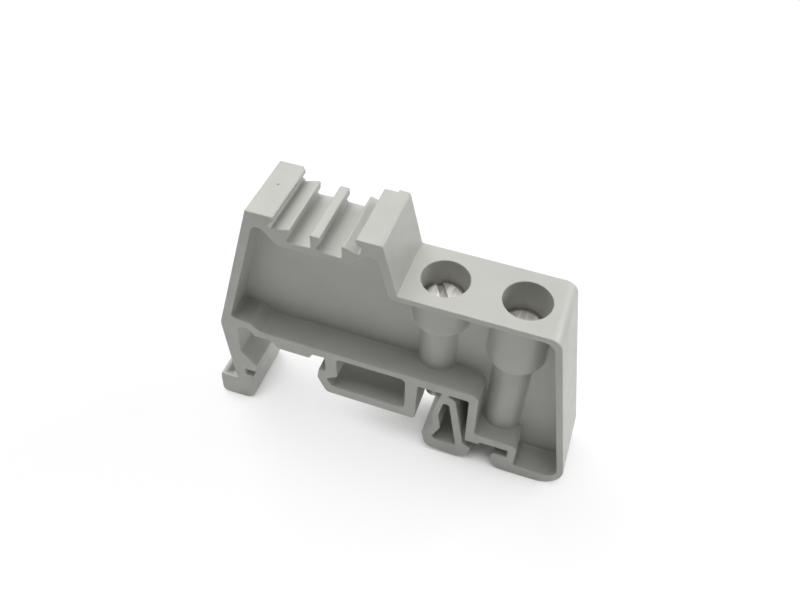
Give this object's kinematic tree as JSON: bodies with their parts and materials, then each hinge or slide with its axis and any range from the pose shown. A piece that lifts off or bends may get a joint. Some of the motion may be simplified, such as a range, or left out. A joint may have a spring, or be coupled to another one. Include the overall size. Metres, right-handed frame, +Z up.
{
  "type": "din rail end stop",
  "caption": "Moulded end stop for a 35 mm top-hat rail, with a sprung left arm, rail hooks, marker grooves and slotted clamping screws sunk in deep counterbores.",
  "frame": {"origin": "middle of the stop's length and thickness, level with the underside of the left foot", "axes": "+X from the sprung left arm to the fixed right hook, +Y along the rail, +Z up off the rail to the marker head"},
  "size_m": [0.0464, 0.0086, 0.0356],
  "materials": {
    "polyamide": "fine matte mould texture",
    "zinc_steel": "bright zinc plating"
  },
  "bodies": {
    "body": {"body": "polyamide"},
    "screw_left": {"screw_left": "zinc_steel"},
    "screw_right": {"screw_right": "zinc_steel"}
  },
  "joints": [
    {"name": "screw_left_drive", "type": "slide", "parent": "body", "child": "screw_left", "axis": [0, 0, 1], "range_m": [-0.00034, 0.00285]},
    {"name": "screw_right_drive", "type": "slide", "parent": "body", "child": "screw_right", "axis": [0, 0, 1], "range_m": [-0.0014, 0.00385]}
  ]
}
